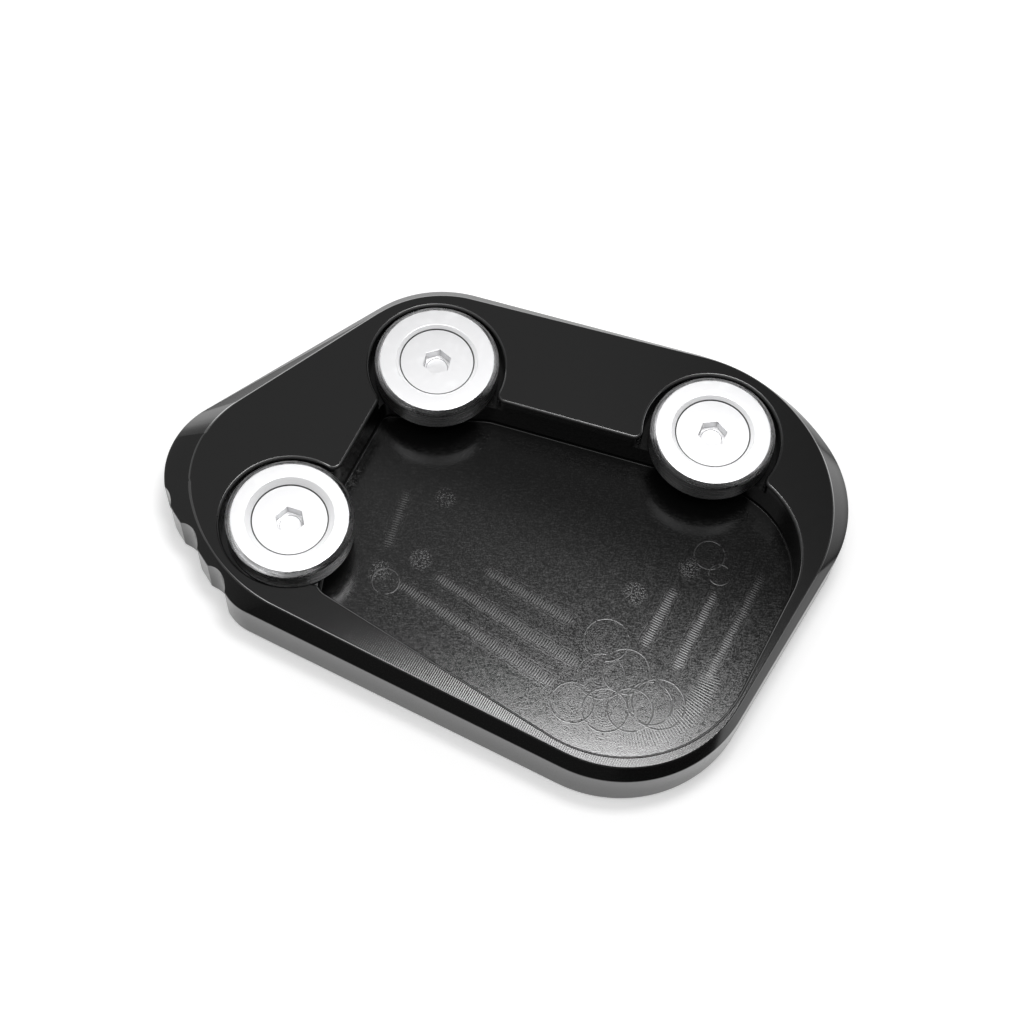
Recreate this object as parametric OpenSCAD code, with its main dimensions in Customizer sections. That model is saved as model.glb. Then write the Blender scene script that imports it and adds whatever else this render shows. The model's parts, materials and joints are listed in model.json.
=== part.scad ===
// Kickstand foot enlarger for a motorcycle.
// A bevelled alloy plate has a deep pocket that takes the foot of the side stand.
// Three thick countersunk washers sit in round seats at the pocket's edge. Their rims
// reach over the pocket and clamp the foot, and one countersunk screw holds each washer.
// Heights count from the ground face. Corners are where the straight sides would meet,
// and each has the radius that rounds it.

/* [Plate heights] */
// Height of the plate from the ground face to the rim's top face
plate_h = 10; // [9.6:0.1:13]
// Height that the bevel round the top edge takes
bevel_h = 1.6; // [0.8:0.1:2.4]
// Size of the small bevel round the ground face
ground_bevel = 0.4; // [0.2:0.1:0.8]
// Depth of the pocket below the rim's top face
pocket_depth = 8; // [5:0.1:8.8]
// Radius of the fillet between the pocket's wall and its floor
floor_r = 0.9; // [0.4:0.1:1]
// Depth of the washer seats below the rim's top face
seat_depth = 3; // [1.5:0.1:3.4]

/* [Wall outline] */
// Left corner of the wall along X
left_x = -60.1; // [-64:0.1:-58]
// Left corner of the wall along Y
left_y = 6.3; // [3:0.1:9]
// Radius at the left corner
left_r = 13.8; // [9:0.1:18]
// Rear corner of the wall along X
rear_x = -17.3; // [-20:0.1:-14]
// Rear corner of the wall along Y
rear_y = 42.7; // [41:0.1:46]
// Radius at the rear corner
rear_r = 18.5; // [12:0.1:26]
// Upper right corner of the wall along X
upper_x = 42.9; // [41:0.1:44.5]
// Upper right corner of the wall along Y
upper_y = 31.2; // [30:0.1:33]
// Radius at the upper right corner
upper_r = 35; // [26:0.1:36]
// Right corner of the wall along X
right_x = 58.3; // [57:0.1:61]
// Right corner of the wall along Y
right_y = 9; // [6:0.1:9.8]
// Radius at the right corner
right_r = 20.5; // [14:0.1:21]
// Front corner of the wall along X
front_x = 30.1; // [26:0.1:32]
// Front corner of the wall along Y
front_y = -47.1; // [-50:0.1:-45]
// Radius at the front corner
front_r = 21.2; // [16:0.1:26]
// Lower left corner of the wall along X
lower_x = -40.7; // [-43:0.1:-39]
// Lower left corner of the wall along Y
lower_y = -18.8; // [-21:0.1:-18]
// Radius at the lower left corner
lower_r = 8; // [4:0.1:12]

/* [Rim outline] */
// Left corner of the rim, along X from the wall's corner
rim_left_dx = 6.6; // [5.5:0.1:8]
// Left corner of the rim, along Y from the wall's corner
rim_left_dy = 1.9; // [1:0.1:2.6]
// Radius of the rim at the left corner
rim_left_r = 17.6; // [14:0.1:21]
// Rear corner of the rim, along X from the wall's corner
rim_rear_dx = -0.2; // [-1:0.1:1]
// Rear corner of the rim, along Y from the wall's corner
rim_rear_dy = -1.8; // [-2.4:0.1:-1.4]
// Radius of the rim at the rear corner
rim_rear_r = 17.9; // [14:0.1:22]
// Upper right corner of the rim, along X from the wall's corner
rim_upper_dx = -3.2; // [-4:0.1:-2.4]
// Upper right corner of the rim, along Y from the wall's corner
rim_upper_dy = -0.4; // [-0.8:0.1:0.2]
// Radius of the rim at the upper right corner
rim_upper_r = 25.5; // [20:0.1:26]
// Right corner of the rim, along X from the wall's corner
rim_right_dx = -1.1; // [-1.8:0.1:-0.8]
// Right corner of the rim, along Y from the wall's corner
rim_right_dy = 0.9; // [0.4:0.1:1.4]
// Radius of the rim at the right corner
rim_right_r = 26.6; // [22:0.1:27]
// Front corner of the rim, along X from the wall's corner
rim_front_dx = -0.2; // [-0.6:0.1:0.1]
// Front corner of the rim, along Y from the wall's corner
rim_front_dy = 1.9; // [1.4:0.1:2.3]
// Radius of the rim at the front corner
rim_front_r = 20.2; // [19:0.1:22]
// Lower left corner of the rim, along X from the wall's corner
rim_lower_dx = -4; // [-4.6:0.1:-3]
// Lower left corner of the rim, along Y from the wall's corner
rim_lower_dy = 4.5; // [4:0.1:5.2]
// Radius of the rim at the lower left corner
rim_lower_r = 27; // [20:0.1:29]

/* [Washer places] */
// Left washer's centre, along X from the wall's left corner
washer_left_dx = 26.5; // [25.6:0.1:27.5]
// Left washer's centre, along Y from the wall's left corner
washer_left_dy = -10.5; // [-11:0.1:-9.5]
// Rear washer's centre, along X from the wall's rear corner
washer_rear_dx = 3.9; // [3:0.1:4.8]
// Rear washer's centre, along Y from the wall's rear corner
washer_rear_dy = -16.3; // [-17.5:0.1:-15.7]
// Right washer's centre, along X from the wall's upper right corner
washer_right_dx = -10.6; // [-12:0.1:-9.8]
// Right washer's centre, along Y from the wall's upper right corner
washer_right_dy = -13.2; // [-13.6:0.1:-12.6]

/* [Pocket outline] */
// Corner left of the rear washer, along X from its centre
pocket_rear_dx = -8.2; // [-8.8:0.1:-7.5]
// Corner left of the rear washer, along Y from its centre
pocket_rear_dy = -6.2; // [-7:0.1:-5.8]
// Radius of the pocket at that corner
pocket_rear_r = 2; // [1.2:0.1:3]
// Corner right of the rear washer, along X from its centre
pocket_turn_dx = 9.3; // [8.4:0.1:10]
// Corner right of the rear washer, along Y from its centre
pocket_turn_dy = -5.4; // [-6:0.1:-5]
// Radius of the pocket at that corner
pocket_turn_r = 8; // [4:0.1:12]
// Right corner of the pocket, along X from the wall's right corner
pocket_right_dx = -4.8; // [-5.6:0.1:-4.6]
// Right corner of the pocket, along Y from the wall's right corner
pocket_right_dy = 0.4; // [-0.2:0.1:0.6]
// Radius of the pocket at the right corner
pocket_right_r = 15.6; // [14:0.1:18]
// Front corner of the pocket, along X from the wall's front corner
pocket_front_dx = -0.1; // [-0.8:0.1:0.1]
// Front corner of the pocket, along Y from the wall's front corner
pocket_front_dy = 1.2; // [1:0.1:2]
// Radius of the pocket at the front corner
pocket_front_r = 20.8; // [20:0.1:24]
// Corner below the left washer, along X from its centre
pocket_lower_dx = 5.3; // [4.8:0.1:6]
// Corner below the left washer, along Y from its centre
pocket_lower_dy = -10.75; // [-11.05:0.05:-10.4]
// Radius of the pocket at that corner
pocket_lower_r = 3; // [1.5:0.1:3.4]
// Corner above the left washer, along X from its centre
pocket_upper_dx = 6.4; // [6:0.1:7.2]
// Corner above the left washer, along Y from its centre
pocket_upper_dy = 9.5; // [9:0.1:9.8]
// Radius of the pocket at that corner
pocket_upper_r = 5; // [2:0.1:8]
// Radius that blunts the points between a seat and the pocket's wall
point_r = 1.5; // [0.6:0.1:2]

/* [Washers] */
// Diameter of a washer
washer_d = 20.4; // [19:0.1:21.4]
// Thickness of a washer
washer_h = 4.5; // [4:0.1:6]
// Width of the bevel round a washer's top
washer_bevel_w = 0.9; // [0.4:0.1:1.2]
// Height of the bevel round a washer's top
washer_bevel_h = 0.6; // [0.3:0.1:1]
// Size of the bevel round a washer's underside
washer_foot_bevel = 0.3; // [0.1:0.1:0.6]
// Gap between a washer and its seat all round
seat_gap = 0.95; // [0.3:0.05:1.1]
// Diameter of the hole through a washer
washer_hole_d = 6.6; // [6.2:0.1:7.4]

/* [Screws] */
// Diameter of a screw's head
head_d = 12; // [11:0.1:12.4]
// Height of the plain band round a screw's head
head_band = 0.2; // [0.1:0.05:0.4]
// Diameter of a screw's shank
shank_d = 5.9; // [5.6:0.1:6]
// Length of a screw with its head
screw_length = 8; // [7:0.5:9.5]
// Width of the hexagon socket across its flats
socket_w = 4.1; // [3.5:0.1:4.4]
// Depth of the hexagon socket
socket_depth = 2; // [1.6:0.1:2.2]
// Height of the rounded bottom under the socket
socket_end = 0.3; // [0.1:0.1:0.5]
// Depth of the left head below its washer's face
sink_left = 1; // [0:0.05:1.2]
// Depth of the rear head below its washer's face
sink_rear = 0.6; // [0:0.05:1.2]
// Depth of the right head below its washer's face
sink_right = 0.65; // [0:0.05:1.2]
// Turn of the left screw's socket
turn_left = 46.6; // [0:0.1:60]
// Turn of the rear screw's socket
turn_rear = 23; // [0:0.1:60]
// Turn of the right screw's socket
turn_right = 12.5; // [0:0.1:60]
// Gap between a head's cone and its countersink
cone_gap = 0.05; // [0.02:0.01:0.1]
// Gap between a shank and the plate's tapped hole, where the threads mesh
thread_gap = 0.05; // [0.02:0.01:0.1]
// Room left under a screw's tip
tip_room = 0.6; // [0.3:0.1:1]

/* [Scallops] */
// Number of scallops in the lower left wall
scallops = 3; // [1:1:3]
// Radius of a scallop
scallop_r = 4; // [3:0.1:4.6]
// Depth of a scallop at its middle
scallop_cut = 1.05; // [0.5:0.05:1.3]
// Distance between scallops
scallop_pitch = 8.7; // [6.5:0.1:9]
// First scallop's middle from the wall's lower left corner
scallop_start = 5.35; // [4.5:0.05:6]

/* [Hidden] */
$fn = 96;
arc_steps = 12;
point_steps = 5;
fillet_steps = 4;
over = 1;
wall_top = plate_h - bevel_h;
seat_z = plate_h - seat_depth;
pocket_z = plate_h - pocket_depth;
washer_top = seat_z + washer_h;
seat_r = washer_d / 2 + seat_gap;
head_r = head_d / 2;
shank_r = shank_d / 2;
socket_r = socket_w / 2 / cos(30);
tip_bevel = 0.5;

wall_corners = [
    [left_x, left_y, left_r],
    [rear_x, rear_y, rear_r],
    [upper_x, upper_y, upper_r],
    [right_x, right_y, right_r],
    [front_x, front_y, front_r],
    [lower_x, lower_y, lower_r],
];
rim_corners = [
    [left_x + rim_left_dx, left_y + rim_left_dy, rim_left_r],
    [rear_x + rim_rear_dx, rear_y + rim_rear_dy, rim_rear_r],
    [upper_x + rim_upper_dx, upper_y + rim_upper_dy, rim_upper_r],
    [right_x + rim_right_dx, right_y + rim_right_dy, rim_right_r],
    [front_x + rim_front_dx, front_y + rim_front_dy, rim_front_r],
    [lower_x + rim_lower_dx, lower_y + rim_lower_dy, rim_lower_r],
];
at_left = [left_x + washer_left_dx, left_y + washer_left_dy];
at_rear = [rear_x + washer_rear_dx, rear_y + washer_rear_dy];
at_right = [upper_x + washer_right_dx, upper_y + washer_right_dy];
pocket_corners = [
    [at_rear[0] + pocket_rear_dx, at_rear[1] + pocket_rear_dy, pocket_rear_r],
    [at_rear[0] + pocket_turn_dx, at_rear[1] + pocket_turn_dy, pocket_turn_r],
    [right_x + pocket_right_dx, right_y + pocket_right_dy, pocket_right_r],
    [front_x + pocket_front_dx, front_y + pocket_front_dy, pocket_front_r],
    [at_left[0] + pocket_lower_dx, at_left[1] + pocket_lower_dy, pocket_lower_r],
    [at_left[0] + pocket_upper_dx, at_left[1] + pocket_upper_dy, pocket_upper_r],
];

function unit(v) = v / norm(v);
function xy(p) = [p[0], p[1]];
function heading(v) = atan2(v[1], v[0]);
// Half of the angle between the two sides at corner b of the path a, b, c
function half_angle(a, b, c) = acos(unit(xy(a) - xy(b)) * unit(xy(c) - xy(b))) / 2;
// Centre of the arc that rounds corner b
function arc_centre(a, b, c) =
    xy(b) + unit(unit(xy(a) - xy(b)) + unit(xy(c) - xy(b))) * b[2] / sin(half_angle(a, b, c));
// Points of that arc, from the side of a to the side of c on a clockwise outline
function corner_arc(a, b, c, inset) =
    let (centre = arc_centre(a, b, c),
         middle = heading(xy(b) - centre),
         reach = 90 - half_angle(a, b, c))
    [for (i = [0 : arc_steps])
        let (turn = middle + reach * (1 - 2 * i / arc_steps))
        centre + (b[2] - inset) * [cos(turn), sin(turn)]];
// Clockwise outline with rounded corners, moved inwards by inset
function rounded(corners, inset = 0) =
    let (n = len(corners))
    [for (k = [0 : n - 1])
        each corner_arc(corners[(k + n - 1) % n], corners[k], corners[(k + 1) % n], inset)];

// Where two circles cross, on the left of the way from c1 to c2 for side 1, or else -1
function circles_meet(c1, r1, c2, r2, side) =
    let (gap = norm(c2 - c1),
         along = (gap * gap + r1 * r1 - r2 * r2) / (2 * gap),
         out = sqrt(r1 * r1 - along * along),
         way = unit(c2 - c1))
    c1 + way * along + side * out * [-way[1], way[0]];
// Where a circle crosses the line through p along way, at its far end for side 1
function line_meets(p, way, c, r, side) =
    let (along = (c - p) * way, off = norm(c - p - way * along))
    p + way * (along + side * sqrt(r * r - off * off));

// Outline that cuts off the point at tip: the arc about centre, from seat to wall, then
// round behind the point through the two hollows
function blunting(centre, seat_side, wall_side, tip) =
    let (from = heading(seat_side - centre),
         turn = (heading(wall_side - centre) - from + 540) % 360 - 180,
         past = 0.25)
    concat([seat_side + unit(seat_side - centre) * past],
           [for (i = [1 : point_steps - 1])
               let (a = from + turn * i / point_steps)
               centre + point_r * [cos(a), sin(a)]],
           [wall_side + unit(wall_side - centre) * past,
            tip + unit(tip - centre) * past]);
// The same between a seat and the straight wall from a to b, at its far crossing for side 1
function blunt_straight(seat, a, b, side) =
    let (way = unit(xy(b) - xy(a)),
         out = [-way[1], way[0]],
         centre = line_meets(xy(a) + out * point_r, way, seat, seat_r + point_r, side))
    blunting(centre, centre + unit(seat - centre) * point_r, centre - out * point_r,
             line_meets(xy(a), way, seat, seat_r, side));
// The same between a seat and the arc that rounds the pocket's corner b
function blunt_round(seat, a, b, c, side) =
    let (hub = arc_centre(a, b, c),
         centre = circles_meet(hub, b[2] + point_r, seat, seat_r + point_r, side))
    blunting(centre, centre + unit(seat - centre) * point_r,
             centre + unit(hub - centre) * point_r,
             circles_meet(hub, b[2], seat, seat_r, side));

wall_points = rounded(wall_corners);
wall_xs = [for (p = wall_points) p[0]];
wall_ys = [for (p = wall_points) p[1]];
middle = [(min(wall_xs) + max(wall_xs)) / 2, (min(wall_ys) + max(wall_ys)) / 2];

// Puts the middle of the wall's outline over the origin
module centred() {
    translate([-middle[0], -middle[1], 0]) children();
}

module slab(from, to, points) {
    translate([0, 0, from]) linear_extrude(to - from) polygon(points);
}

// Plate before anything is cut: wall, ground bevel and the bevel up to the rim
module blank() {
    hull() {
        slab(0, ground_bevel, rounded(wall_corners, ground_bevel));
        slab(ground_bevel, wall_top, wall_points);
        slab(wall_top, plate_h, rounded(rim_corners));
    }
}

// Hollow of the pocket, up past the rim, with its floor's fillet in small steps
module pocket() {
    hull() for (i = [0 : fillet_steps]) {
        rise = 90 * i / fillet_steps;
        slab(pocket_z + floor_r * (1 - cos(rise)), plate_h + over,
             rounded(pocket_corners, floor_r * (1 - sin(rise))));
    }
}

// Seat for one washer with the tapped hole under its screw
module seat(at, sink) {
    tip = washer_top - sink - screw_length;
    translate([at[0], at[1], seat_z]) cylinder(h = seat_depth + over, r = seat_r);
    translate([at[0], at[1], tip - tip_room])
        cylinder(h = plate_h, r = shank_r + thread_gap);
}

// Arcs that blunt the six points of the rim between the seats and the pocket
module point_cuts() {
    pocket_rear = pocket_corners[0];
    pocket_turn = pocket_corners[1];
    pocket_right = pocket_corners[2];
    pocket_front = pocket_corners[3];
    pocket_lower = pocket_corners[4];
    pocket_upper = pocket_corners[5];
    top = plate_h + over;
    slab(seat_z, top, blunt_round(at_left, pocket_front, pocket_lower, pocket_upper, 1));
    slab(seat_z, top, blunt_straight(at_left, pocket_upper, pocket_rear, 1));
    slab(seat_z, top, blunt_straight(at_rear, pocket_upper, pocket_rear, -1));
    slab(seat_z, top, blunt_straight(at_rear, pocket_turn, pocket_right, 1));
    slab(seat_z, top, blunt_straight(at_right, pocket_turn, pocket_right, -1));
    slab(seat_z, top, blunt_round(at_right, pocket_turn, pocket_right, pocket_front, -1));
}

// Row of scallops along the wall's lower left side
module scallop_cuts() {
    from = xy(wall_corners[5]);
    way = unit(xy(wall_corners[0]) - from);
    out = [-way[1], way[0]];
    for (i = [0 : scallops - 1]) {
        at = from + way * (scallop_start + i * scallop_pitch) + out * (scallop_r - scallop_cut);
        translate([at[0], at[1], -over]) cylinder(h = plate_h + 2 * over, r = scallop_r);
    }
}

module plate() {
    color("#2c2c2e") centred() difference() {
        blank();
        pocket();
        seat(at_left, sink_left);
        seat(at_rear, sink_rear);
        seat(at_right, sink_right);
        point_cuts();
        scallop_cuts();
    }
}

// Thick washer whose countersink takes a head that lies sink below the top face
module washer(at, sink) {
    outer = washer_d / 2;
    hole = washer_hole_d / 2;
    mouth = head_r + cone_gap + sink;
    color("#dcdcde") centred() translate([at[0], at[1], seat_z]) rotate_extrude()
        polygon([
            [hole, 0],
            [outer - washer_foot_bevel, 0],
            [outer, washer_foot_bevel],
            [outer, washer_h - washer_bevel_h],
            [outer - washer_bevel_w, washer_h],
            [mouth, washer_h],
            [mouth - sink, washer_h - sink],
            [mouth - sink, washer_h - sink - head_band],
            [hole, washer_h - sink - head_band - (mouth - sink - hole)],
        ]);
}

// Countersunk screw with a hexagon socket
module screw(at, sink, turn) {
    color("#c9cacc") centred() translate([at[0], at[1], washer_top - sink - screw_length])
        difference() {
            rotate_extrude() polygon([
                [0, 0],
                [shank_r - tip_bevel, 0],
                [shank_r, tip_bevel],
                [shank_r, screw_length - head_band - (head_r - shank_r)],
                [head_r, screw_length - head_band],
                [head_r, screw_length],
                [0, screw_length],
            ]);
            translate([0, 0, screw_length - socket_depth]) rotate(turn)
                cylinder(h = socket_depth + over, r = socket_r, $fn = 6);
            translate([0, 0, screw_length - socket_depth - socket_end])
                cylinder(h = socket_end + over, r = socket_w / 2 - socket_end);
        }
}

module washer_left() { washer(at_left, sink_left); }
module washer_rear() { washer(at_rear, sink_rear); }
module washer_right() { washer(at_right, sink_right); }
module screw_left() { screw(at_left, sink_left, turn_left); }
module screw_rear() { screw(at_rear, sink_rear, turn_rear); }
module screw_right() { screw(at_right, sink_right, turn_right); }

plate();
washer_left();
washer_rear();
washer_right();
screw_left();
screw_rear();
screw_right();
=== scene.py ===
import json
import math

import bmesh
import bpy
from mathutils import Matrix, Vector
from mathutils.geometry import intersect_line_sphere_2d, intersect_sphere_sphere_2d

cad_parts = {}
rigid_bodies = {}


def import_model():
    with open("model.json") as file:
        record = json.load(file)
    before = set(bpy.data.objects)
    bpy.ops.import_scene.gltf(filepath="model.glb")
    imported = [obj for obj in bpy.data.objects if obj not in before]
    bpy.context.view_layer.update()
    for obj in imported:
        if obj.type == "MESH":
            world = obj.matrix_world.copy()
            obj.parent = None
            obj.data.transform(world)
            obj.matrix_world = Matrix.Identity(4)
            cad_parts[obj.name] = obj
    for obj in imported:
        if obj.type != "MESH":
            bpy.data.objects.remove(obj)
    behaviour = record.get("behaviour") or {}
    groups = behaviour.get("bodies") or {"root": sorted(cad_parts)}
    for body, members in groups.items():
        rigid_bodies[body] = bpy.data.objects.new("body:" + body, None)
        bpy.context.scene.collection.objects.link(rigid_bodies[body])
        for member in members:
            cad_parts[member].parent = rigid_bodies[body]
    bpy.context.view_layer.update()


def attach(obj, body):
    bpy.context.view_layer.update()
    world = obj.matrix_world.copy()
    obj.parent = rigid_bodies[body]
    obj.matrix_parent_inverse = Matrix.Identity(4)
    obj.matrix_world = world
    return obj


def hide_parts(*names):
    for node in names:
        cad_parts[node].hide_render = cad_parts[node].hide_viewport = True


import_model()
MM = 0.001


# Camera. It looks down on the plate from the front, steeply, and is rolled a little, as
# in the photograph.
AIM = Vector((1.08, 0.32, 11.5)) * MM
AWAY = 321.6 * MM
LOOK_DOWN = math.radians(64.825)
ROLL = math.radians(5.376)

ahead = Vector((0, math.cos(LOOK_DOWN), -math.sin(LOOK_DOWN)))
level_up = Vector((1, 0, 0)).cross(ahead)
to_right = math.cos(ROLL) * Vector((1, 0, 0)) + math.sin(ROLL) * level_up
to_top = math.cos(ROLL) * level_up - math.sin(ROLL) * Vector((1, 0, 0))

bpy.ops.object.camera_add()
camera = bpy.context.object
camera.name = "camera"
camera.data.sensor_width = 36
camera.data.lens = 71.58
camera.data.clip_start = 0.01
camera.data.clip_end = 50
camera.matrix_world = Matrix.Translation(AIM - ahead * AWAY) @ Matrix(
    (to_right, to_top, -ahead)).transposed().to_4x4()
bpy.context.scene.camera = camera


# Plate. One block of aluminium, milled all over and black anodised: a bevelled outside,
# a deep pocket, three round seats for the washers, and three scallops in its edge.
PLATE_H = 10
BEVEL_H = 1.6
GROUND_BEVEL = 0.4
POCKET_FLOOR = 2
FLOOR_R = 0.3
SEAT_FLOOR = 7
SEAT_R = 11.15
HOLE_R = 3
POINT_R = 1.5
EDGE_BREAK = 0.13
POCKET_EDGE_R = 0.5
MIDDLE = Vector((0.043, -0.018))

# Corners where the straight sides would meet, clockwise, as (x, y, radius that rounds it)
WALL = [(-60.1, 6.3, 13.8), (-17.3, 42.7, 18.5), (42.9, 31.2, 35),
        (58.3, 9, 20.5), (30.1, -47.1, 21.2), (-40.7, -18.8, 8)]
RIM = [(-53.5, 8.2, 17.6), (-17.5, 40.9, 17.9), (39.7, 30.8, 25.5),
       (57.2, 9.9, 26.6), (29.9, -45.2, 20.2), (-44.7, -14.3, 27)]
POCKET = [(-21.6, 20.2, 2), (-4.1, 21, 8), (53.5, 9.4, 15.6),
          (30, -45.9, 20.8), (-28.3, -14.95, 3), (-27.2, 5.3, 5)]
SEATS = {"left": Vector((-33.6, -4.2)), "rear": Vector((-13.4, 26.4)),
         "right": Vector((32.3, 18.0))}
SCREW_TIPS = {"left": 2.5, "rear": 2.9, "right": 2.85}
TIP_ROOM = 0.6


def corner(corners, k):
    """The arc that rounds corner k of a clockwise outline: its centre and its two ends."""
    before, at, after = [Vector(corners[(k + i) % len(corners)][:2]) for i in (-1, 0, 1)]
    one, two = (before - at).normalized(), (after - at).normalized()
    half = one.angle(two) / 2
    reach = corners[k][2] / math.tan(half)
    centre = at + (one + two).normalized() * corners[k][2] / math.sin(half)
    return centre, at + one * reach, at + two * reach


def arc(centre, start, end, way=1):
    """An arc to draw: centre, start, sweep, which is clockwise for way 1, and steps."""
    one, two = [math.atan2(spot.y - centre.y, spot.x - centre.x) for spot in (start, end)]
    sweep = ((one - two) * way) % (2 * math.pi)
    length = sweep * (start - centre).length
    return centre, start, sweep * way, max(6, round(min(length / 0.25, math.degrees(sweep) / 2)))


def outline(corners, inset=0):
    """The rounded corners of a clockwise outline, moved inwards."""
    arcs = [arc(*corner(corners, k)) for k in range(len(corners))]
    return [(centre, start + (centre - start).normalized() * inset, sweep, steps)
            for centre, start, sweep, steps in arcs]


def place(at, height):
    """A spot on the part, given in millimetres."""
    return ((at[0] - MIDDLE.x) * MM, (at[1] - MIDDLE.y) * MM, height * MM)


def begun():
    """Starts a piece with an empty mesh at the origin, to be drawn in edit mode."""
    bpy.ops.object.select_all(action="DESELECT")
    bpy.ops.mesh.primitive_plane_add(size=MM)
    bpy.ops.object.mode_set(mode="EDIT")
    bpy.ops.mesh.delete(type="VERT")


def finished(name):
    """Ends edit mode, names the piece just made and puts its place in its mesh."""
    bpy.ops.object.mode_set(mode="OBJECT")
    piece = bpy.context.object
    piece.name = name
    piece.data.name = name
    bpy.ops.object.transform_apply(location=True, rotation=True, scale=True)
    return piece


def select(piece, mode="OBJECT"):
    """Makes a piece the only one worked on."""
    bpy.ops.object.select_all(action="DESELECT")
    bpy.context.view_layer.objects.active = piece
    piece.select_set(True)
    bpy.ops.object.mode_set(mode=mode)


def picked(kind, test):
    """In edit mode, selects only the verts, edges or faces that pass a test."""
    bpy.ops.mesh.select_all(action="DESELECT")
    bpy.ops.mesh.select_mode(type={"verts": "VERT", "edges": "EDGE", "faces": "FACE"}[kind])
    mesh = bmesh.from_edit_mesh(bpy.context.object.data)
    mesh.normal_update()
    for part in getattr(mesh, kind):
        part.select_set(bool(test(part)))
    bmesh.update_edit_mesh(bpy.context.object.data)


def level(part, height):
    """Whether an edge or a face lies flat at a height."""
    return all(abs(v.co.z - height * MM) < 0.002 * MM for v in part.verts)


def ridge(edge, over_degrees=12):
    """Whether an edge is a sharp one that stands out."""
    return len(edge.link_faces) == 2 and edge.calc_face_angle_signed(0) > math.radians(over_degrees)


def drawn(stops, height):
    """Draws a closed line through arcs, stretched or spun from its end, and selects it."""
    bpy.ops.mesh.select_all(action="DESELECT")
    bpy.ops.mesh.select_mode(type="VERT")
    first = at = stops[0][1]
    bpy.ops.mesh.primitive_plane_add(size=MM, location=place(at, height))
    bpy.ops.mesh.merge(type="CENTER")
    for centre, start, sweep, steps in [*stops, (first, first, 0, 0)]:
        if (start - at).length > 0.001:
            bpy.ops.mesh.extrude_vertices_move(
                TRANSFORM_OT_translate={"value": (*(start - at) * MM, 0)})
        at = start
        if steps:
            bpy.ops.mesh.spin(steps=steps, angle=sweep, center=place(centre, height),
                              axis=(0, 0, 1))
            at = centre + Matrix.Rotation(-sweep, 2) @ (start - centre)
    bpy.ops.mesh.select_linked()
    bpy.ops.mesh.remove_doubles(threshold=0.002 * MM)


def wrapped(name, *levels):
    """A solid stretched tightly round outlines, each with its height."""
    begun()
    for stops, height in levels:
        drawn(stops, height)
    bpy.ops.mesh.select_all(action="SELECT")
    bpy.ops.mesh.convex_hull()
    bpy.ops.mesh.dissolve_limited(angle_limit=math.radians(0.05))
    return finished(name)


def rod(name, at, radius, low, high, vertices=96):
    """A round rod that stands on end."""
    begun()
    bpy.ops.mesh.primitive_circle_add(vertices=vertices, radius=radius * MM,
                                      location=place(at, low), fill_type="NGON")
    bpy.ops.mesh.extrude_region_move(TRANSFORM_OT_translate={"value": (0, 0, (high - low) * MM)})
    bpy.ops.mesh.select_all(action="SELECT")
    bpy.ops.mesh.normals_make_consistent(inside=False)
    return finished(name)


def cut(piece, tool):
    """Cuts a tool's shape from a piece and drops the tool."""
    select(piece)
    bpy.ops.object.modifier_add(type="BOOLEAN")
    change = piece.modifiers[-1]
    change.operation = "DIFFERENCE"
    change.solver = "EXACT"
    change.object = tool
    bpy.ops.object.modifier_apply(modifier=change.name)
    bpy.data.objects.remove(tool)


# The block: wall, small ground bevel, and the bevel up to the rim
plate = wrapped("plate_body", (outline(WALL, GROUND_BEVEL), 0), (outline(WALL), GROUND_BEVEL),
                (outline(WALL), PLATE_H - BEVEL_H), (outline(RIM), PLATE_H))

# Arcs that blunt the points between a seat and the pocket. Each touches the seat's circle
# and a wall of the pocket: a rounded corner, or else the straight side after corner k.
POINTS = {"left": [(4, True, 1), (5, False, 0)], "rear": [(5, False, 1), (1, False, 0)],
          "right": [(1, False, 1), (2, True, 0)]}


def point(seat, k, round_corner, which):
    """Centre of such an arc, and where it touches the wall and the seat."""
    if round_corner:
        hub = corner(POCKET, k)[0]
        centre = intersect_sphere_sphere_2d(hub, POCKET[k][2] + POINT_R,
                                            seat, SEAT_R + POINT_R)[which]
        to_wall = (hub - centre).normalized()
    else:
        one, two = Vector(POCKET[k][:2]), Vector(POCKET[(k + 1) % 6][:2])
        to_wall = Vector((two.y - one.y, one.x - two.x)).normalized()
        aside = to_wall * POINT_R
        centre = intersect_line_sphere_2d(one - aside, two - aside, seat,
                                          SEAT_R + POINT_R, False)[which]
    return centre, centre + to_wall * POINT_R, centre + (seat - centre).normalized() * POINT_R


# Over a seat the rim's inner edge goes round the seat. Below it, the pocket's wall goes on.
corners = [corner(POCKET, k) for k in range(6)]
over, wall_ends = {}, {}
for name, seat in SEATS.items():
    (c1, wall_1, seat_1), (c2, wall_2, seat_2) = [point(seat, *p) for p in POINTS[name]]
    over[name] = [arc(c1, wall_1, seat_1, -1), arc(seat, seat_1, seat_2),
                  arc(c2, seat_2, wall_2, -1)]
    wall_ends[name] = (wall_1, wall_2)
stop = {name: [(spot, spot, 0, 0) for spot in ends] for name, ends in wall_ends.items()}
under = {
    "left": [arc(corners[4][0], wall_ends["left"][0], corners[4][2]), arc(*corners[5]),
             stop["left"][1]],
    "rear": [stop["rear"][0], arc(*corners[0]), arc(*corners[1]), stop["rear"][1]],
    "right": [stop["right"][0], arc(corners[2][0], corners[2][1], wall_ends["right"][1])],
}
free_wall = [arc(corners[2][0], wall_ends["right"][1], corners[2][2]), arc(*corners[3]),
             arc(corners[4][0], corners[4][1], wall_ends["left"][0])]


def backwards(stops):
    """The same line, drawn from its other end."""
    return [(centre, centre + Matrix.Rotation(-sweep, 2) @ (start - centre), -sweep, steps)
            for centre, start, sweep, steps in reversed(stops)]


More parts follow.
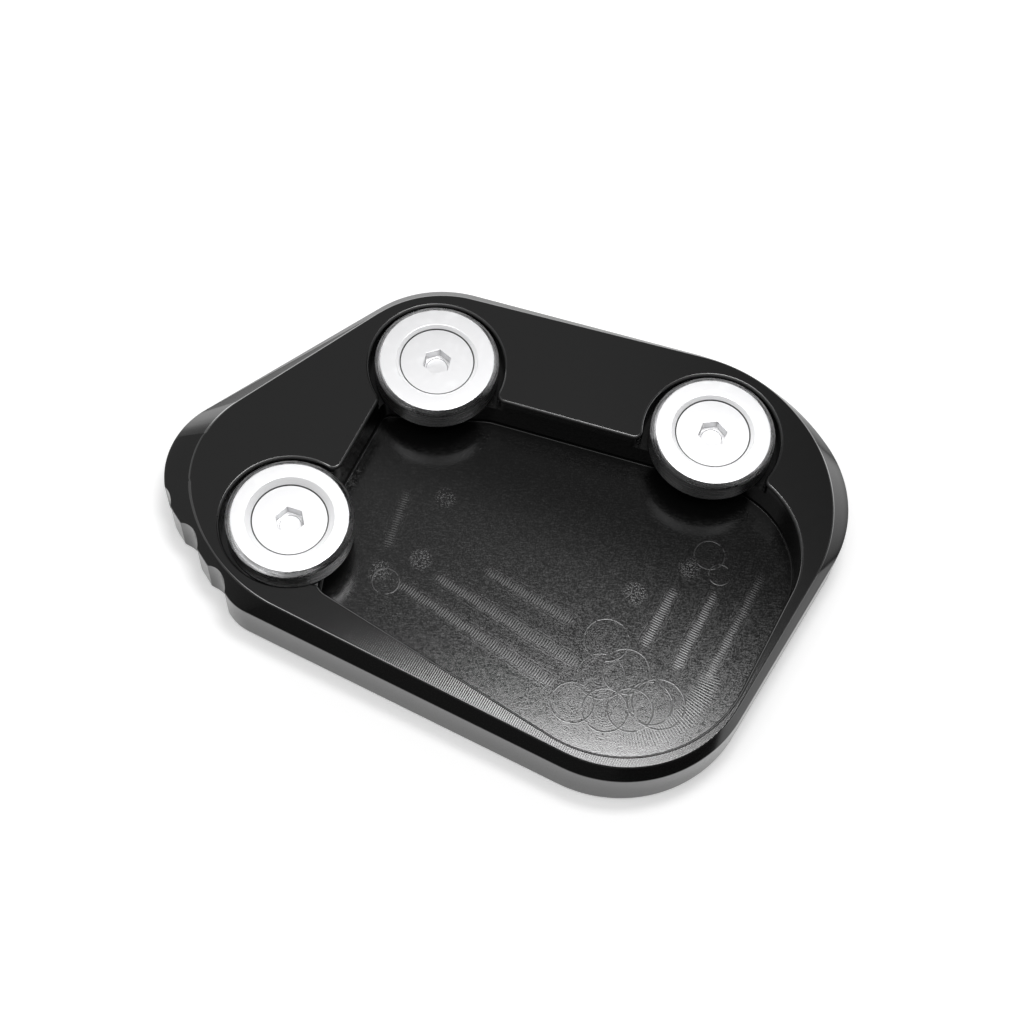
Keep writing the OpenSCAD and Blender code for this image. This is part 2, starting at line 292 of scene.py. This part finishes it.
select(plate, "EDIT")
picked("faces", lambda f: f.normal.z > 0.9 and level(f, PLATE_H))
bpy.ops.mesh.delete(type="ONLY_FACE")
drawn(free_wall + over["left"] + over["rear"] + over["right"], PLATE_H)
bpy.ops.mesh.extrude_region_move(
    TRANSFORM_OT_translate={"value": (0, 0, (SEAT_FLOOR - PLATE_H) * MM)})
for name in SEATS:
    drawn(over[name] + backwards(under[name]), SEAT_FLOOR)
    bpy.ops.mesh.edge_face_add()
drawn(free_wall + under["left"] + under["rear"] + under["right"], SEAT_FLOOR)
bpy.ops.mesh.extrude_region_move(
    TRANSFORM_OT_translate={"value": (0, 0, (POCKET_FLOOR - SEAT_FLOOR) * MM)})
bpy.ops.mesh.edge_face_add()
bpy.ops.mesh.select_all(action="SELECT")
bpy.ops.mesh.remove_doubles(threshold=0.002 * MM)
picked("edges", lambda e: level(e, PLATE_H))
bpy.ops.mesh.fill(use_beauty=True)
bpy.ops.mesh.select_all(action="SELECT")
bpy.ops.mesh.normals_make_consistent(inside=False)
bpy.ops.mesh.dissolve_limited(angle_limit=math.radians(0.05))
picked("edges", lambda e: level(e, POCKET_FLOOR))
bpy.ops.mesh.bevel(offset=FLOOR_R * MM, segments=10, affect="EDGES")

# The pocket's top edge is rounded by hand, and the outer edges are only just broken
picked("edges", lambda e: level(e, PLATE_H) and any(abs(f.normal.z) < 0.1 for f in e.link_faces))
bpy.ops.mesh.bevel(offset=POCKET_EDGE_R * MM, segments=5, affect="EDGES")
picked("edges", lambda e: ridge(e, 20) and (level(e, PLATE_H) or level(e, PLATE_H - BEVEL_H)))
bpy.ops.mesh.bevel(offset=EDGE_BREAK * MM, segments=2, affect="EDGES")
bpy.ops.object.mode_set(mode="OBJECT")

# Tapped holes under the screws, and scallops, evenly along the wall's lower left side
SCALLOP_R = 4
SCALLOP_CUT = 1.05
for name, at in SEATS.items():
    cut(plate, rod("hole_cut", at, HOLE_R, SCREW_TIPS[name] - TIP_ROOM, SEAT_FLOOR + 1))
lower, left = Vector(WALL[5][:2]), Vector(WALL[0][:2])
way = (left - lower).normalized()
for i in range(3):
    at = (lower + way * (5.35 + 8.7 * i)
          + Vector((-way.y, way.x)) * (SCALLOP_R - SCALLOP_CUT))
    cut(plate, rod("scallop_cut", at, SCALLOP_R, -1, PLATE_H + 1, 160))


def smoothed(piece):
    """Shades a piece smooth, with its flat faces kept flat."""
    select(piece)
    bpy.ops.object.shade_smooth_by_angle(angle=math.radians(35))
    bpy.ops.object.modifier_add(type="WEIGHTED_NORMAL")
    piece.modifiers[-1].keep_sharp = True
    bpy.ops.object.modifier_apply(modifier=piece.modifiers[-1].name)


smoothed(plate)


def node(tree, kind, sockets=None, **settings):
    """Adds a node. Each socket gets a value, or another node's output."""
    made = tree.nodes.new(kind)
    for key, value in settings.items():
        setattr(made, key, value)
    for key, value in (sockets or {}).items():
        if isinstance(value, bpy.types.NodeSocket):
            tree.links.new(value, made.inputs[key])
        else:
            made.inputs[key].default_value = value
    return made


def maths(tree, operation, *values, clamp=False):
    """Adds a sum, product or other step, and gives its output."""
    return node(tree, "ShaderNodeMath", dict(enumerate(values)),
                operation=operation, use_clamp=clamp).outputs[0]


def finish_of(name, **sockets):
    """A new material, with its tree and its shader, whose plain values are set."""
    material = bpy.data.materials.new(name)
    material.use_nodes = True
    tree = material.node_tree
    shader = tree.nodes["Principled BSDF"]
    for key, value in sockets.items():
        shader.inputs[key.replace("_", " ")].default_value = value
    return material, tree, shader


def bumped(tree, shader, height, depth, normal=None):
    """Lets a pattern of heights, from 0 to 1, tilt the light by its depth in millimetres."""
    bump = node(tree, "ShaderNodeBump", {"Strength": 1.0, "Distance": depth * MM,
                                         "Height": height})
    if normal:
        tree.links.new(normal, bump.inputs["Normal"])
    tree.links.new(bump.outputs["Normal"], shader.inputs["Normal"])


def smooth(tree, value, low, high):
    """Rises smoothly from 0 at one bound to 1 at the other."""
    return node(tree, "ShaderNodeMapRange", {"Value": value, "From Min": low, "From Max": high},
                interpolation_type="SMOOTHSTEP").outputs[0]


def window(tree, value, low, high, soft):
    """1 where a value lies between two bounds, with soft ends, and 0 elsewhere."""
    return maths(tree, "MULTIPLY", smooth(tree, value, low - soft, low + soft),
                 smooth(tree, value, high + soft, high - soft))


def noise(tree, spot, per_mm, detail=2.0, turn=0.0, stretch=1.0):
    """Noise from 0 to 1, so many features to a millimetre, and stretched along one line."""
    at = node(tree, "ShaderNodeMapping", {"Vector": spot, "Rotation": (0, 0, math.radians(turn)),
                                          "Scale": (1 / stretch, 1, 1)}).outputs[0]
    return node(tree, "ShaderNodeTexNoise", {"Vector": at, "Scale": per_mm,
                                             "Detail": detail}).outputs[0]


def away_from(tree, spot, centre):
    """Distance on the pocket's floor from a centre."""
    return node(tree, "ShaderNodeVectorMath", {0: spot, 1: (*centre, POCKET_FLOOR)},
                operation="DISTANCE").outputs["Value"]


def strongest(tree, marks):
    """The strongest of several marks at each spot."""
    best = marks[0]
    for mark in marks[1:]:
        best = maths(tree, "MAXIMUM", best, mark)
    return best


def cutter_pass(tree, spot, waver, start, end, strength=1.0, width=2.4, pitch=0.42):
    """A straight pass of the cutter: ticks across it, between fine lines that waver."""
    run = Vector(end) - Vector(start)
    along = node(tree, "ShaderNodeMapping", {
        "Vector": spot, "Location": (*start, 0),
        "Rotation": (0, 0, math.atan2(run.y, run.x))}, vector_type="TEXTURE").outputs[0]
    s, t, _ = node(tree, "ShaderNodeSeparateXYZ", {0: along}).outputs
    aside = maths(tree, "ABSOLUTE", maths(tree, "ADD", t, waver))
    wave = maths(tree, "SINE", maths(tree, "MULTIPLY", s, 2 * math.pi / pitch))
    ticks = maths(tree, "MULTIPLY", smooth(tree, wave, -0.9, 1),
                  smooth(tree, aside, 0.45 * width, 0))
    sides = smooth(tree, maths(tree, "SINE", maths(tree, "MULTIPLY", aside, 15)), 0, 1)
    sides = maths(tree, "MULTIPLY", maths(tree, "MULTIPLY", sides, 0.18),
                  window(tree, aside, 0.3 * width, 0.65 * width, 0.3))
    return maths(tree, "MULTIPLY", maths(tree, "ADD", ticks, sides),
                 maths(tree, "MULTIPLY", window(tree, s, 0, run.length, 1.2), strength))


# Where the cutter ran last over the pocket's floor: straight passes as (start, end,
# strength), rings where it turned as (x, y, radius), and spots where it dwelt as (x, y)
PASSES = [((-9.9, -7.9), (13.2, -20.2), 1), ((-2, -6.1), (12.2, -13.3), 0.8),
          ((-15.9, -9.6), (9.7, -24), 0.9), ((-16.3, 6.6), (-18.5, -3.5), 0.7),
          ((28.2, -6.5), (24.1, -16.1), 1), ((34.8, -6.3), (29.3, -19.6), 0.9),
          ((42.3, -2.6), (34.2, -21), 0.6)]
RINGS = [(18, -16, 3.6), (17.5, -22.2, 3.8), (21.4, -21, 3.8), (18.5, -27.8, 3.6),
         (25.4, -26, 3.6), (22.4, -27.4, 3.6), (13.3, -27, 3.4), (26.8, -26, 4.2),
         (33.7, 0.4, 2.5), (35.5, -2.9, 1.8), (-18, -9.5, 2.2)]
DWELLS = [(-19.1, -7.8), (-12.8, -5.1), (22.1, -7.5), (-9.9, 6.2), (30.6, -2.2), (14, -25.5)]
LAST_TURN = (19.7, -16.9)
SMOOTH_FINISH = 0.125
BLACK = 0.004

anodised, tree, shader = finish_of("black_anodised", IOR=1.7)
seen = node(tree, "ShaderNodeTexCoord").outputs
spot = node(tree, "ShaderNodeVectorMath",
            {0: seen["Object"], 1: (1 / MM,) * 3, 2: (MIDDLE.x, MIDDLE.y, 0)},
            operation="MULTIPLY_ADD").outputs[0]
x, y, z = node(tree, "ShaderNodeSeparateXYZ", {0: spot}).outputs
grain = smooth(tree, noise(tree, spot, 5.2, 1), 0.3, 0.7)
streaks = smooth(tree, noise(tree, spot, 4, 2, turn=12, stretch=5), 0.45, 0.7)
blotches = noise(tree, spot, 0.5)

# Marks on the pocket's floor
torn = smooth(tree, noise(tree, spot, 0.55, 3), 0.4, 0.5)
waver = maths(tree, "MULTIPLY_ADD", noise(tree, spot, 0.7, 1), 0.6, -0.3)
passes = strongest(tree, [cutter_pass(tree, spot, waver, *ends) for ends in PASSES])
rings = []
for rx, ry, radius in RINGS:
    away = away_from(tree, spot, (rx, ry))
    rings.append(window(tree, away, radius - 0.08, radius + 0.08, 0.07))
    ripples = smooth(tree, maths(tree, "SINE", maths(tree, "MULTIPLY", away, 16)), -0.5, 1)
    rings.append(maths(tree, "MULTIPLY", maths(tree, "MULTIPLY", ripples, 0.13),
                       window(tree, away, 0.2 * radius, 0.85 * radius, 0.4)))
rings = maths(tree, "MULTIPLY", strongest(tree, rings),
              maths(tree, "MULTIPLY_ADD", torn, 0.9, 0.1))
speckle = smooth(tree, noise(tree, spot, 3.6, 0), 0.5, 0.6)
dwells = maths(tree, "MULTIPLY", maths(tree, "MULTIPLY", speckle, 0.6), strongest(
    tree, [smooth(tree, away_from(tree, spot, at), 2.4, 1) for at in DWELLS]))
away = away_from(tree, spot, LAST_TURN)
angle = maths(tree, "ARCTAN2", maths(tree, "SUBTRACT", y, LAST_TURN[1]),
              maths(tree, "SUBTRACT", x, LAST_TURN[0]))
fan = maths(tree, "MULTIPLY", maths(tree, "MULTIPLY", window(tree, away, 14, 17, 1.2),
                                    window(tree, angle, -1.5, -0.1, 0.25)),
            smooth(tree, maths(tree, "SINE", maths(tree, "MULTIPLY", angle, 220)), 0, 1))
fan = maths(tree, "MULTIPLY", fan, 0.4)
marks = maths(tree, "MULTIPLY", strongest(tree, [passes, rings, dwells, fan]),
              smooth(tree, z, POCKET_FLOOR + 0.1, POCKET_FLOOR + 0.02))

# The rim was faced by a wide cutter, whose fine lines show most towards the front corner
facing = maths(tree, "SINE", maths(tree, "ADD", maths(tree, "MULTIPLY", x, 16.5),
                                   maths(tree, "MULTIPLY", y, -7.4)))
facing = maths(tree, "MULTIPLY", smooth(tree, facing, -0.9, 0.9),
               maths(tree, "MULTIPLY", smooth(tree, y, -14, -36),
                     smooth(tree, z, PLATE_H - 0.06, PLATE_H - 0.02)))

# The rim's broken outer edge is made metallic and lighter, a painted highlight, and its rounded
# inner edge is dull at the rear
outward = smooth(tree, node(tree, "ShaderNodeVectorMath", {
    0: seen["Normal"], 1: node(tree, "ShaderNodeCombineXYZ", {0: x, 1: y}).outputs[0]},
    operation="DOT_PRODUCT").outputs["Value"], 0.5, 2)
painted_edge_highlight = maths(tree, "MULTIPLY", outward, window(tree, z, PLATE_H - EDGE_BREAK,
                                               PLATE_H - 0.015, 0.015))
along = node(tree, "ShaderNodeSeparateXYZ", {0: seen["Normal"]}).outputs["Y"]
rounded = maths(tree, "MULTIPLY", smooth(tree, along, 0.1, -0.1), maths(
    tree, "MULTIPLY", maths(tree, "SUBTRACT", 1.0, outward),
    window(tree, z, PLATE_H - POCKET_EDGE_R, PLATE_H - 0.02, 0.02)))

inside = maths(tree, "MULTIPLY", smooth(tree, z, PLATE_H - 1, PLATE_H - 2),
               smooth(tree, z, 0.5, 1.5))
rear_corner = maths(tree, "MULTIPLY", smooth(tree, y, 4, 9), window(
    tree, z, POCKET_FLOOR + 0.03, POCKET_FLOOR + FLOOR_R, 0.03))
rough = maths(tree, "MULTIPLY_ADD", marks, 0.28, SMOOTH_FINISH)
rough = maths(tree, "MULTIPLY_ADD", facing, 0.08, rough)
rough = maths(tree, "MULTIPLY_ADD", rounded, 0.35, rough)
rough = maths(tree, "MULTIPLY_ADD", rear_corner, 0.4, rough)
rough = maths(tree, "ADD", rough, maths(tree, "MULTIPLY", maths(
    tree, "MULTIPLY_ADD", grain, 0.12, maths(tree, "MULTIPLY_ADD", streaks, 0.06, -0.05)), inside))
rough = maths(tree, "MULTIPLY_ADD", blotches, 0.02, rough)
tree.links.new(rough, shader.inputs["Roughness"])
# Painted highlight: the outer edge break is metallic and lighter in colour
tree.links.new(painted_edge_highlight, shader.inputs["Metallic"])
tree.links.new(maths(tree, "MULTIPLY_ADD", painted_edge_highlight, 0.22, BLACK), shader.inputs["Base Color"])

# Painted shade: the pocket's sheen fades towards its rear right and along its rear corner, which
# darkens them as shade would
deep = maths(tree, "MULTIPLY", inside, smooth(
    tree, maths(tree, "MULTIPLY_ADD", x, 0.35, y), -4, 14))
sheen_with_painted_shade = maths(tree, "MULTIPLY_ADD", deep, -0.3, 0.5)
sheen_with_painted_shade = maths(tree, "MULTIPLY_ADD", rear_corner, -0.18, sheen_with_painted_shade)
tree.links.new(sheen_with_painted_shade, shader.inputs["Specular IOR Level"])
height = maths(tree, "MULTIPLY_ADD", facing, 0.9, maths(tree, "MULTIPLY", marks, 0.9))
height = maths(tree, "ADD", height, maths(
    tree, "MULTIPLY", grain, maths(tree, "MULTIPLY_ADD", inside, 0.09, 0.04)))
bumped(tree, shader, height, 0.01)
plate.data.materials.clear()
plate.data.materials.append(anodised)
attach(plate, "root")
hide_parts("plate")


# Washers. Three thick aluminium rings, turned and left bare, each with a bevelled top edge
# and a countersink. They stand in the plate's seats and reach over its pocket.
WASHER_R = 10.2
WASHER_H = 4.5
WASHER_TOP = SEAT_FLOOR + WASHER_H
WASHER_HOLE_R = 3.3
TOP_BEVEL = (0.9, 0.6)
FOOT_BEVEL = 0.3
WASHER_EDGE = 0.08
HEAD_R = 6
HEAD_BAND = 0.2
HEAD_GAP = 0.05
SINKS = {"left": 1, "rear": 0.6, "right": 0.65}


def edges_broken(piece, width):
    """Breaks every sharp edge of a piece by a small bevel."""
    select(piece)
    bpy.ops.object.modifier_add(type="BEVEL")
    edge = piece.modifiers[-1]
    edge.width = width * MM
    edge.segments = 2
    edge.limit_method = "ANGLE"
    edge.angle_limit = math.radians(20)
    bpy.ops.object.modifier_apply(modifier=edge.name)
    smoothed(piece)


def turned(name, at, profile, vertices=192):
    """A piece turned on a lathe: a loop drawn through each (radius, height) in turn."""
    radius, height = profile[0]
    closed = profile[0] == profile[-1]
    begun()
    bpy.ops.mesh.primitive_circle_add(vertices=vertices, radius=radius * MM,
                                      location=place(at, height),
                                      fill_type="NOTHING" if closed else "NGON")
    for r, z in profile[1:]:
        bpy.ops.mesh.extrude_region_move(
            TRANSFORM_OT_translate={"value": (0, 0, (z - height) * MM)})
        bpy.ops.transform.resize(value=(r / radius, r / radius, 1),
                                 center_override=place(at, z))
        radius, height = r, z
    bpy.ops.mesh.select_all(action="SELECT")
    bpy.ops.mesh.remove_doubles(threshold=0.001 * MM)
    bpy.ops.mesh.normals_make_consistent(inside=False)
    return finished(name)


def turned_metal(name, at, colour, dull_band, painted_shade_band):
    """Bare turned metal, smoother on its side and dull in one band, with painted shade in its
    colour: darker on its side, on steep faces and in another band.
    """
    material, tree, shader = finish_of(name)
    seen = node(tree, "ShaderNodeTexCoord").outputs
    spot = node(tree, "ShaderNodeVectorMath",
                {0: seen["Object"], 1: (1 / MM,) * 3,
                 2: (MIDDLE.x - at.x, MIDDLE.y - at.y, 0)}, operation="MULTIPLY_ADD").outputs[0]
    x, y, z = node(tree, "ShaderNodeSeparateXYZ", {0: spot}).outputs
    radius = node(tree, "ShaderNodeVectorMath", {
        0: node(tree, "ShaderNodeCombineXYZ", {0: x, 1: y}).outputs[0]},
        operation="LENGTH").outputs["Value"]
    round_it = maths(tree, "ARCTAN2", y, x)
    lines = smooth(tree, noise(tree, node(tree, "ShaderNodeCombineXYZ", {
        0: maths(tree, "MULTIPLY_ADD", radius, 1.5, z), 1: maths(tree, "MULTIPLY", round_it, 0.5),
        2: 0.0}).outputs[0], 5, 3), 0.3, 0.7)
    side = smooth(tree, radius, WASHER_R - 0.95, WASHER_R - 0.85)
    dull = window(tree, radius, *dull_band, 0.03)
    steep = smooth(tree, node(tree, "ShaderNodeSeparateXYZ", {0: seen["Normal"]}).outputs["Z"],
                   0.5, 0.2)
    scuffs = smooth(tree, noise(tree, spot, 0.9, 4), 0.5, 0.75)
    rough = maths(tree, "MULTIPLY_ADD", scuffs, 0.05, 0.42)
    rough = maths(tree, "MULTIPLY_ADD", side,
                  maths(tree, "MULTIPLY_ADD", lines, 0.16, -0.22), rough)
    tree.links.new(rough, shader.inputs["Roughness"])
    tree.links.new(maths(tree, "SUBTRACT", 1.0, dull), shader.inputs["Metallic"])
    # Painted shade: the side and bevel are darker, beyond the darkening of their brushed lines
    shade = maths(tree, "MULTIPLY_ADD", maths(
        tree, "MULTIPLY", maths(tree, "MULTIPLY_ADD", lines, 0.3, 0.1), side), -1.0, 1.0)
    # Painted shade: steep faces, such as the socket's walls and the washer's side, are darker
    shade = maths(tree, "MULTIPLY", shade, maths(tree, "MULTIPLY_ADD", steep, -0.25, 1.0))
    # Painted shade: a narrow band by the gap at the screw head's edge is nearly black
    shade = maths(tree, "MULTIPLY", shade, maths(
        tree, "MULTIPLY_ADD", window(tree, radius, *painted_shade_band, 0.03), -0.88, 1.0))
    colour_with_painted_shade = node(tree, "ShaderNodeVectorMath", {0: colour, "Scale": shade}, operation="SCALE")
    tree.links.new(colour_with_painted_shade.outputs[0], shader.inputs["Base Color"])

    # The bevel mirrors what a steeper one would, which leaves it dark at the rear
    flatter = node(tree, "ShaderNodeCombineXYZ", {
        0: 1.0, 1: 1.0, 2: maths(tree, "MULTIPLY_ADD", side, -0.58, 1.0)}).outputs[0]
    tilted = node(tree, "ShaderNodeVectorMath", {0: seen["Normal"], 1: flatter},
                  operation="MULTIPLY").outputs[0]
    tilted = node(tree, "ShaderNodeVectorMath", {0: tilted}, operation="NORMALIZE").outputs[0]
    bumped(tree, shader, maths(tree, "MULTIPLY", lines, side), 0.012, tilted)
    return material


for name, at in SEATS.items():
    sink_r = HEAD_R + HEAD_GAP
    mouth = sink_r + SINKS[name]
    cone = WASHER_TOP - SINKS[name] - HEAD_BAND
    washer = turned("washer_body_" + name, at, [
        (WASHER_HOLE_R, SEAT_FLOOR), (WASHER_R - FOOT_BEVEL, SEAT_FLOOR),
        (WASHER_R, SEAT_FLOOR + FOOT_BEVEL), (WASHER_R, WASHER_TOP - TOP_BEVEL[1]),
        (WASHER_R - TOP_BEVEL[0], WASHER_TOP), (mouth, WASHER_TOP),
        (sink_r, WASHER_TOP - SINKS[name]), (sink_r, cone),
        (WASHER_HOLE_R, cone - (sink_r - WASHER_HOLE_R)), (WASHER_HOLE_R, SEAT_FLOOR)])
    edges_broken(washer, WASHER_EDGE)
    washer.data.materials.append(turned_metal(
        "bare_washer_" + name, at, (0.95, 0.95, 0.96), (HEAD_R, mouth), (HEAD_R, HEAD_R + 0.15)))
    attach(washer, "root")
    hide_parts("washer_" + name)


# Screws. Three M6 countersunk steel screws, zinc plated, each with a hexagon socket that
# ends in a rounded bottom. One is made and copied, and its socket turned to its own angle.
SHANK_R = 2.95
TIP_BEVEL = 0.5
SCREW_LENGTH = 8
SCREW_EDGE = 0.07
SOCKET_ACROSS = 4.1
SOCKET_DEPTH = 2
SOCKET_END_R = 1.75
SOCKET_END_DEPTH = 2.3
TURNS = {"left": 46.6, "rear": 23, "right": 12.5}

screw = turned("screw_body", MIDDLE, [
    (SHANK_R - TIP_BEVEL, 0), (SHANK_R, TIP_BEVEL),
    (SHANK_R, SCREW_LENGTH - HEAD_BAND - HEAD_R + SHANK_R),
    (HEAD_R, SCREW_LENGTH - HEAD_BAND), (HEAD_R, SCREW_LENGTH)])
socket_r = SOCKET_ACROSS / 2 / math.cos(math.radians(30))
bpy.ops.object.select_all(action="DESELECT")
bpy.ops.mesh.primitive_cylinder_add(
    vertices=6, radius=socket_r * MM, depth=(SOCKET_DEPTH + 1) * MM,
    location=(0, 0, (SCREW_LENGTH + (1 - SOCKET_DEPTH) / 2) * MM),
    rotation=(0, 0, math.radians(30)))
cut(screw, finished("socket_cut"))
cut(screw, rod("socket_end", MIDDLE, SOCKET_END_R, SCREW_LENGTH - SOCKET_END_DEPTH,
               SCREW_LENGTH + 1))
edges_broken(screw, SCREW_EDGE)
for name, at in SEATS.items():
    select(screw)
    bpy.ops.object.duplicate()
    one = bpy.context.object
    one.rotation_euler.z = math.radians(TURNS[name])
    one.location = place(at, SCREW_TIPS[name])
    one = finished("screw_body_" + name)
    one.data.materials.append(turned_metal(
        "bare_screw_" + name, at, (0.93, 0.93, 0.94), (-2, -1), (HEAD_R - 0.07, HEAD_R + 1)))
    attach(one, "root")
    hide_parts("screw_" + name)
bpy.data.objects.remove(screw)


# Floor and light. A plain white table that keeps the plate's shadow, under a bright lamp and
# a wide dim one that hang close above. The room is dim, darkest behind the camera and
# darker to the right, with a low bright screen round its back.
ROOM_FRONT, ROOM_BACK = 0.06, 0.3


def lamp(name, middle, width, depth, brightness):
    """A soft lamp that faces down, as bright to look at as given, where 1 is white."""
    bpy.ops.object.select_all(action="DESELECT")
    bpy.ops.object.light_add(type="AREA", location=middle)
    made = bpy.context.object
    made.name = name
    made.data.shape = "RECTANGLE"
    made.data.size, made.data.size_y = width, depth
    made.data.energy = brightness * math.pi * width * depth


lamp("bright_lamp", (0.045, 0.074, 0.45), 0.13, 0.08, 20)
lamp("wide_lamp", (0, -0.1, 0.5), 0.6, 0.24, 2.6)

bpy.ops.object.select_all(action="DESELECT")
bpy.ops.mesh.primitive_plane_add(size=20)
floor = bpy.context.object
floor.name = "floor"
white, tree, shader = finish_of("white_table", Base_Color=(0.88, 0.88, 0.88, 1), Roughness=0.9)
shader.inputs["Specular IOR Level"].default_value = 0
out = tree.nodes["Material Output"]
path = node(tree, "ShaderNodeLightPath").outputs
shown = maths(tree, "MAXIMUM", path["Is Camera Ray"],
              maths(tree, "MAXIMUM", path["Is Glossy Ray"], path["Is Transmission Ray"]))
far = node(tree, "ShaderNodeVectorMath", {0: node(tree, "ShaderNodeTexCoord").outputs["Object"]},
           operation="LENGTH").outputs["Value"]
near = maths(tree, "MULTIPLY", smooth(tree, far, 0.6, 0.2), 0.33)
lift = node(tree, "ShaderNodeEmission", {"Color": (1, 1, 1, 1),
                                         "Strength": maths(tree, "MULTIPLY", shown, near)})
both = node(tree, "ShaderNodeAddShader", {0: shader.outputs[0], 1: lift.outputs[0]})
tree.links.new(both.outputs[0], out.inputs["Surface"])
floor.data.materials.append(white)

world = bpy.data.worlds.new("room")
bpy.context.scene.world = world
world.use_nodes = True
tree = world.node_tree
background = tree.nodes["Background"]
way = node(tree, "ShaderNodeSeparateXYZ",
           {0: node(tree, "ShaderNodeTexCoord").outputs["Generated"]}).outputs
room = node(tree, "ShaderNodeMapRange", {
    "Value": maths(tree, "MULTIPLY_ADD", way["X"], -0.5, way["Y"]), "From Min": -0.4,
    "From Max": 0.5, "To Min": ROOM_FRONT, "To Max": ROOM_BACK}, interpolation_type="SMOOTHSTEP")
darker = maths(tree, "MULTIPLY_ADD", smooth(tree, way["X"], 0.03, 0.18), -0.6, 1.0)
screen = maths(tree, "MULTIPLY", smooth(tree, way["Y"], -0.2, 0.9),
               window(tree, way["Z"], 0.05, 0.4, 0.08))
room = maths(tree, "MULTIPLY", room.outputs[0], darker)
room = maths(tree, "MULTIPLY_ADD", screen, 2.3, room)
tree.links.new(room, background.inputs["Strength"])
background.inputs["Color"].default_value = (1, 1, 1, 1)

bpy.context.scene.view_settings.view_transform = "Standard"
